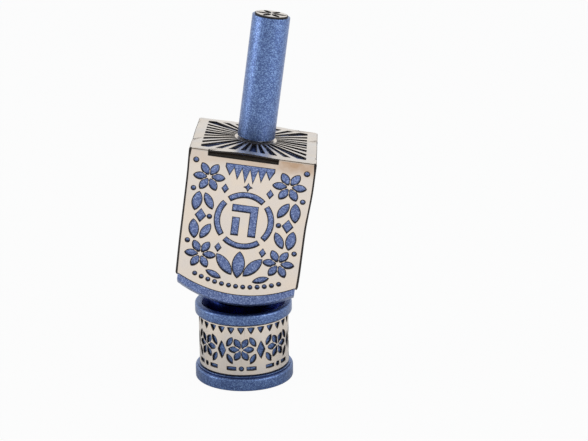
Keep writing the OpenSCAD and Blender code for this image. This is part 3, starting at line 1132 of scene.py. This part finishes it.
@dataclass
class Stud:
    """The threaded stud that joins the stem and the block, made by a Geometry Nodes tree."""

    place: Matrix
    radius: float = 1.5 * MM
    # Height of its lower end over the pip's lowest point
    foot: float = 19.41 * MM
    length: float = 14.28 * MM
    pitch: float = 0.5 * MM
    thread_depth: float = 0.3 * MM
    # How far the thread stays inside each end
    lead: float = 0.25 * MM
    # Faces round the core and the ridge, and steps in one turn of the thread
    core_sides: int = 48
    ridge_sides: int = 4
    turn_steps: int = 36
    # The ridge's crest turns by more than this, in degrees, and stays sharp
    sharp_from: float = 50

    def tree(self, steel: bpy.types.Material) -> bpy.types.NodeTree:
        """Builds the tree that winds a ridge round a core.

        Args:
            steel: the stud's material.

        Returns:
            A tree with the inputs Core, Length, Turns and Ridge.
        """
        tree = bpy.data.node_groups.new("threaded_rod", "GeometryNodeTree")
        tree.interface.new_socket("Geometry", in_out="OUTPUT", socket_type="NodeSocketGeometry")
        for name in ("Core", "Length", "Turns", "Ridge"):
            tree.interface.new_socket(name, in_out="INPUT", socket_type="NodeSocketFloat")
        given = add_node(tree, "NodeGroupInput").outputs
        lift = add_node(tree, "ShaderNodeCombineXYZ", Z=add_node(
            tree, "ShaderNodeMath", {"operation": "MULTIPLY"}, i0=given["Length"], i1=0.5).outputs[0])
        core = add_node(tree, "GeometryNodeMeshCylinder", Vertices=self.core_sides,
                        Radius=given["Core"], Depth=given["Length"])
        core_up = add_node(tree, "GeometryNodeTransform", Geometry=core.outputs["Mesh"],
                           Translation=lift.outputs[0])
        helix = add_node(tree, "GeometryNodeCurveSpiral", Resolution=self.turn_steps,
                         Rotations=given["Turns"], Start_Radius=given["Core"],
                         End_Radius=given["Core"], Height=given["Length"])
        section = add_node(tree, "GeometryNodeCurvePrimitiveCircle", {"mode": "RADIUS"},
                           Resolution=self.ridge_sides, Radius=given["Ridge"])
        ridge = add_node(tree, "GeometryNodeCurveToMesh", Curve=helix.outputs["Curve"],
                         Profile_Curve=section.outputs["Curve"], Fill_Caps=True)
        joined = add_node(tree, "GeometryNodeJoinGeometry")
        for part in (ridge, core_up):
            tree.links.new(part.outputs[0], joined.inputs[0])
        real = add_node(tree, "GeometryNodeRealizeInstances", Geometry=joined.outputs[0])
        dressed = add_node(tree, "GeometryNodeSetMaterial", Geometry=real.outputs[0], Material=steel)
        add_node(tree, "NodeGroupOutput", Geometry=dressed.outputs[0])
        return tree

    def build(self, finishes: Finishes) -> bpy.types.Object:
        """Makes the stud.

        Args:
            finishes: the part's materials.

        Returns:
            The finished object.
        """
        threaded = self.length - 2 * self.lead
        values = {"Core": self.radius - self.thread_depth, "Length": threaded,
                  "Turns": threaded / self.pitch, "Ridge": self.thread_depth}
        made = grow(self.tree(finishes.steel), values)
        mesh = bmesh.new()
        mesh.from_mesh(made)
        bpy.data.meshes.remove(made)
        mesh.transform(Matrix.Translation((0, 0, self.foot + self.lead)))
        return finish_piece(mesh, "threaded_stud", self.place, [finishes.steel], self.sharp_from)


def grow(tree: bpy.types.NodeTree, values: dict[str, float]) -> bpy.types.Mesh:
    """Runs a Geometry Nodes tree once.

    Args:
        tree: the tree.
        values: its inputs' names and values.

    Returns:
        The plain mesh that it makes.
    """
    seed = bpy.data.objects.new(tree.name, bpy.data.meshes.new(tree.name))
    bpy.context.scene.collection.objects.link(seed)
    modifier = seed.modifiers.new(tree.name, "NODES")
    modifier.node_group = tree
    for item in tree.interface.items_tree:
        if item.in_out == "INPUT" and item.name in values:
            modifier[item.identifier] = values[item.name]
    graph = bpy.context.evaluated_depsgraph_get()
    made = bpy.data.meshes.new_from_object(seed.evaluated_get(graph))
    bpy.data.objects.remove(seed)
    return made


@dataclass(frozen=True)
class Lamp:
    """A soft lamp that looks at the object's middle."""

    name: str
    # Its direction from the object, in degrees from the front, positive to the right, and over the floor
    azimuth: float
    elevation: float
    # Its distance, width and height in metres, and its power in watts
    distance: float
    size: tuple[float, float]
    power: float
    # Height of the object's middle
    middle: float = 25 * MM

    def build(self) -> None:
        """Adds the lamp to the scene."""
        data = bpy.data.lights.new(self.name, "AREA")
        data.shape = "RECTANGLE"
        data.size, data.size_y = self.size
        data.energy = self.power
        a, e = math.radians(self.azimuth), math.radians(self.elevation)
        away = Vector((math.sin(a) * math.cos(e), -math.cos(a) * math.cos(e), math.sin(e)))
        lamp = bpy.data.objects.new(self.name, data)
        lamp.location = Vector((0, 0, self.middle)) + away * self.distance
        lamp.rotation_euler = away.to_track_quat("Z", "Y").to_euler()
        bpy.context.scene.collection.objects.link(lamp)


@dataclass
class Studio:
    """Floor, lamps, world and camera."""

    paper: str = "#F4F3F1"
    floor_half: float = 0.6
    # How much of the plain white the camera sees in the floor, which keeps the rest for its shadow
    floor_seen: float = 0.95
    # The paper near the object lies in its shade, so metal mirrors less white there: distances from the
    # object's middle, and the shares of white at them
    shade_near: float = 15 * MM
    shade_far: float = 55 * MM
    near_share: float = 0.15
    far_share: float = 0.95
    # Camera of the photograph: focal length and principal point in its pixels, and its stance
    photo_size: tuple[int, int] = (588, 441)
    focal_px: float = 1887.4
    centre_px: tuple[float, float] = (289.23, 227.48)
    azimuth: float = 2.395
    elevation: float = 17.53
    roll: float = -0.48
    stand_point: tuple[float, float, float] = (17.43 * MM, -256.25 * MM, 103.33 * MM)
    sensor: float = 36.0
    clip: float = 10 * MM
    # Strength of the world behind the camera and behind the object, and the share left overhead
    room_tint: str = "#EDF7FF"
    room_front: float = 0.5
    room_back: float = 0.95
    room_top: float = 0.3
    # A direction's share to the back at which the front's strength ends and the back's begins, and its
    # share upwards at which the walls end and the ceiling begins
    front_to: float = -0.5
    back_from: float = 0.4
    wall_to: float = 0.45
    ceiling_from: float = 0.85
    # How much of the plain white metal mirrors in the world
    world_mirrored: float = 0.5
    lamps: tuple[Lamp, ...] = (
        Lamp("side_softbox", azimuth=-74, elevation=12, distance=0.5, size=(0.18, 0.24), power=0.55),
        Lamp("fill_softbox", azimuth=60, elevation=14, distance=0.6, size=(0.55, 0.26), power=1.3),
    )

    def camera(self) -> None:
        """Makes the scene's camera at the photograph's stance."""
        a, e, r = (math.radians(v) for v in (self.azimuth, self.elevation, self.roll))
        forward = Vector((-math.sin(a) * math.cos(e), math.cos(a) * math.cos(e), -math.sin(e)))
        right = Vector((math.cos(a), math.sin(a), 0))
        up = right.cross(forward)
        right, up = right * math.cos(r) + up * math.sin(r), up * math.cos(r) - right * math.sin(r)
        width, height = self.photo_size
        data = bpy.data.cameras.new("photo_camera")
        data.sensor_width = self.sensor
        data.lens = self.focal_px * self.sensor / width
        data.shift_x = (width / 2 - self.centre_px[0]) / width
        data.shift_y = (self.centre_px[1] - height / 2) / width
        data.clip_start = self.clip
        camera = bpy.data.objects.new("photo_camera", data)
        camera.matrix_world = (Matrix.Translation(Vector(self.stand_point))
                               @ Matrix((right, up, -forward)).transposed().to_4x4())
        bpy.context.scene.collection.objects.link(camera)
        bpy.context.scene.camera = camera

    def shown(self, tree: bpy.types.NodeTree, seen: float,
              mirrored: float | bpy.types.NodeSocket) -> bpy.types.NodeSocket:
        """Adds a switch for how much of the plain white a ray meets.

        Args:
            tree: the tree of the floor or the world.
            seen: the share for rays from the camera, straight or through glass.
            mirrored: the share for rays that a glossy surface sends on.

        Returns:
            The switch's socket.
        """
        path = add_node(tree, "ShaderNodeLightPath")
        straight = add_node(tree, "ShaderNodeMath", {"operation": "MAXIMUM"},
                            i0=path.outputs["Is Camera Ray"], i1=path.outputs["Is Transmission Ray"])
        share = add_node(tree, "ShaderNodeMath", {"operation": "MULTIPLY"}, i0=straight.outputs[0],
                         i1=seen)
        return add_node(tree, "ShaderNodeMath", {"operation": "MULTIPLY_ADD"},
                        i0=path.outputs["Is Glossy Ray"], i1=mirrored, i2=share.outputs[0]).outputs[0]

    def floor(self) -> None:
        """Makes the pale floor, which keeps part of the object's shadow."""
        mesh = bmesh.new()
        bmesh.ops.create_grid(mesh, x_segments=1, y_segments=1, size=self.floor_half)
        data = bpy.data.meshes.new("floor")
        mesh.to_mesh(data)
        mesh.free()
        floor = bpy.data.objects.new("floor", data)
        bpy.context.scene.collection.objects.link(floor)
        material = bpy.data.materials.new("white_paper")
        material.use_nodes = True
        tree = material.node_tree
        tree.nodes.clear()
        paper = add_node(tree, "ShaderNodeBsdfDiffuse", Color=linear(self.paper))
        glow = add_node(tree, "ShaderNodeEmission", Color=(1, 1, 1, 1), Strength=1.0)
        reach = add_node(tree, "ShaderNodeVectorMath", {"operation": "LENGTH"},
                         i0=add_node(tree, "ShaderNodeTexCoord").outputs["Object"])
        mirrored = add_node(tree, "ShaderNodeMapRange", Value=reach.outputs["Value"],
                            From_Min=self.shade_near, From_Max=self.shade_far, To_Min=self.near_share,
                            To_Max=self.far_share)
        mixed = add_node(tree, "ShaderNodeMixShader", i1=paper.outputs[0], i2=glow.outputs[0],
                         Fac=self.shown(tree, self.floor_seen, mirrored.outputs["Result"]))
        add_node(tree, "ShaderNodeOutputMaterial", Surface=mixed.outputs[0])
        data.materials.append(material)

    def world(self) -> None:
        """Makes a white world whose front half is a little dimmer, as a lit room behind the camera is."""
        world = bpy.data.worlds.new("studio")
        bpy.context.scene.world = world
        world.use_nodes = True
        tree = world.node_tree
        tree.nodes.clear()
        way = add_node(tree, "ShaderNodeSeparateXYZ",
                       Vector=add_node(tree, "ShaderNodeTexCoord").outputs["Generated"])
        depth = add_node(tree, "ShaderNodeMapRange", Value=way.outputs["Y"], From_Min=self.front_to,
                         From_Max=self.back_from, To_Min=self.room_front, To_Max=self.room_back)
        ceiling = add_node(tree, "ShaderNodeMapRange", Value=way.outputs["Z"], From_Min=self.wall_to,
                           From_Max=self.ceiling_from, To_Min=1.0, To_Max=self.room_top)
        lit = add_node(tree, "ShaderNodeMath", {"operation": "MULTIPLY"}, i0=depth.outputs["Result"],
                       i1=ceiling.outputs["Result"])
        room = add_node(tree, "ShaderNodeBackground", Color=linear(self.room_tint), Strength=lit.outputs[0])
        white = add_node(tree, "ShaderNodeBackground", Color=(1, 1, 1, 1), Strength=1.0)
        mixed = add_node(tree, "ShaderNodeMixShader", Fac=self.shown(tree, 1.0, self.world_mirrored),
                         i1=room.outputs[0], i2=white.outputs[0])
        add_node(tree, "ShaderNodeOutputWorld", Surface=mixed.outputs[0])

    def build(self) -> None:
        """Makes everything that isn't part of the object."""
        bpy.context.scene.view_settings.view_transform = "Standard"
        self.camera()
        self.floor()
        self.world()
        for lamp in self.lamps:
            lamp.build()


def main() -> None:
    """Builds the studio and dresses every piece."""
    logging.basicConfig(level=logging.INFO)
    Studio().build()
    finishes = Finishes()
    leaning, upright = leaning_place(), Matrix.Identity(4)
    pieces = [
        (SquareBlock(leaning), Body.DREIDEL, Slot.BLUE, "block"),
        (FoldedCover("overlay", "folded_cover", leaning), Body.DREIDEL, Slot.SILVER, "overlay"),
        (Stem(leaning), Body.DREIDEL, Slot.BLUE, "stem"),
        (EndDisc("stem_disc", "end_disc", leaning), Body.DREIDEL, Slot.SILVER, "stem_disc"),
        (Stud(leaning), Body.LIFT, Slot.STEEL, "stud"),
        (Stand(), Body.STAND, Slot.BLUE, "stand_body"),
        (RoundBand("stand_band", "round_band", upright), Body.STAND, Slot.SILVER, "stand_band"),
    ]
    for maker, body, slot, node in pieces:
        register(maker.build(finishes), body, node)


if __name__ == "__main__":
    main()
